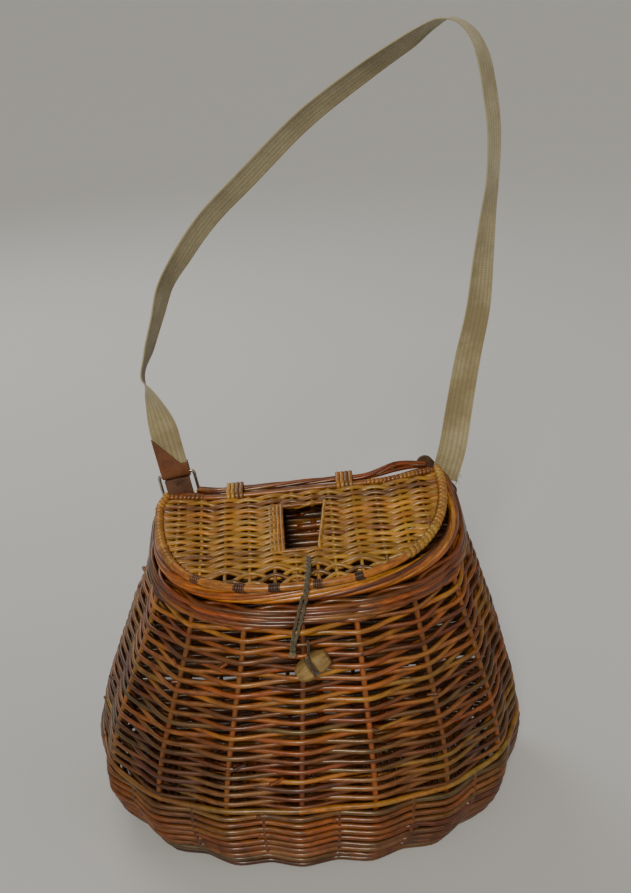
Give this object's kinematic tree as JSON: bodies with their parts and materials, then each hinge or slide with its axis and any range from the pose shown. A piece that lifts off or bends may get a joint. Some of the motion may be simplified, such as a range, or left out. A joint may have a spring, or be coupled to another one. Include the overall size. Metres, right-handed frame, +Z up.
{
  "type": "fishing creel bag",
  "caption": "Wicker angler's basket with a bellied woven body, flat woven lid with a fish slot, cord-and-toggle latch, leather buckle end and webbing shoulder strap.",
  "frame": {"origin": "on the underside of the base, under the middle of the mouth's width", "axes": "+X to the viewer's right, +Y to the back, which rests on the hip, +Z up"},
  "size_m": [0.3874, 0.2712, 0.6532],
  "materials": {
    "willow_brown": "satin",
    "willow_red": "satin",
    "willow_gold": "satin",
    "boxwood": "matte",
    "cord_olive": "matte",
    "webbing": "matte",
    "leather": "satin",
    "steel": "satin"
  },
  "bodies": {
    "basket": {"base": "willow_brown", "lower_wale": "willow_brown", "side_wall": "willow_brown", "top_wale": "willow_red", "rim_border": "willow_red", "back_border": "willow_red", "stake_1": "willow_red", "stake_2": "willow_red", "stake_3": "willow_red", "stake_4": "willow_red", "stake_5": "willow_red", "stake_6": "willow_red", "stake_7": "willow_red", "stake_8": "willow_red", "stake_9": "willow_red", "stake_10": "willow_red", "stake_11": "willow_red", "stake_12": "willow_red", "stake_13": "willow_red", "stake_14": "willow_red", "stake_15": "willow_red", "stake_16": "willow_red", "toggle": "boxwood", "toggle_tie": "cord_olive", "strap": "webbing", "strap_chape": "leather", "buckle": "steel", "billet": "leather", "strap_tab": "leather"},
    "lid": {"lid_panel": "willow_gold", "lid_bow": "willow_gold", "lid_back_rod": "willow_gold", "lid_rib_1": "willow_gold", "lid_rib_2": "willow_gold", "lid_rib_3": "willow_gold", "lid_rib_4": "willow_gold", "lid_rib_5": "willow_gold", "lid_rib_6": "willow_gold", "lid_rib_7": "willow_gold", "lid_rib_8": "willow_gold", "lid_rib_9": "willow_gold", "lid_rib_10": "willow_gold", "hinge_loop_left": "willow_gold", "hinge_loop_right": "willow_gold", "latch_cord": "cord_olive", "latch_knot": "cord_olive"}
  },
  "joints": [
    {"name": "lid_hinge", "type": "hinge", "parent": "basket", "child": "lid", "pos_m": [0, 0.0345, 0.27643], "axis": [-0.998, 0, -0.0628], "range_deg": [0, 95]}
  ]
}
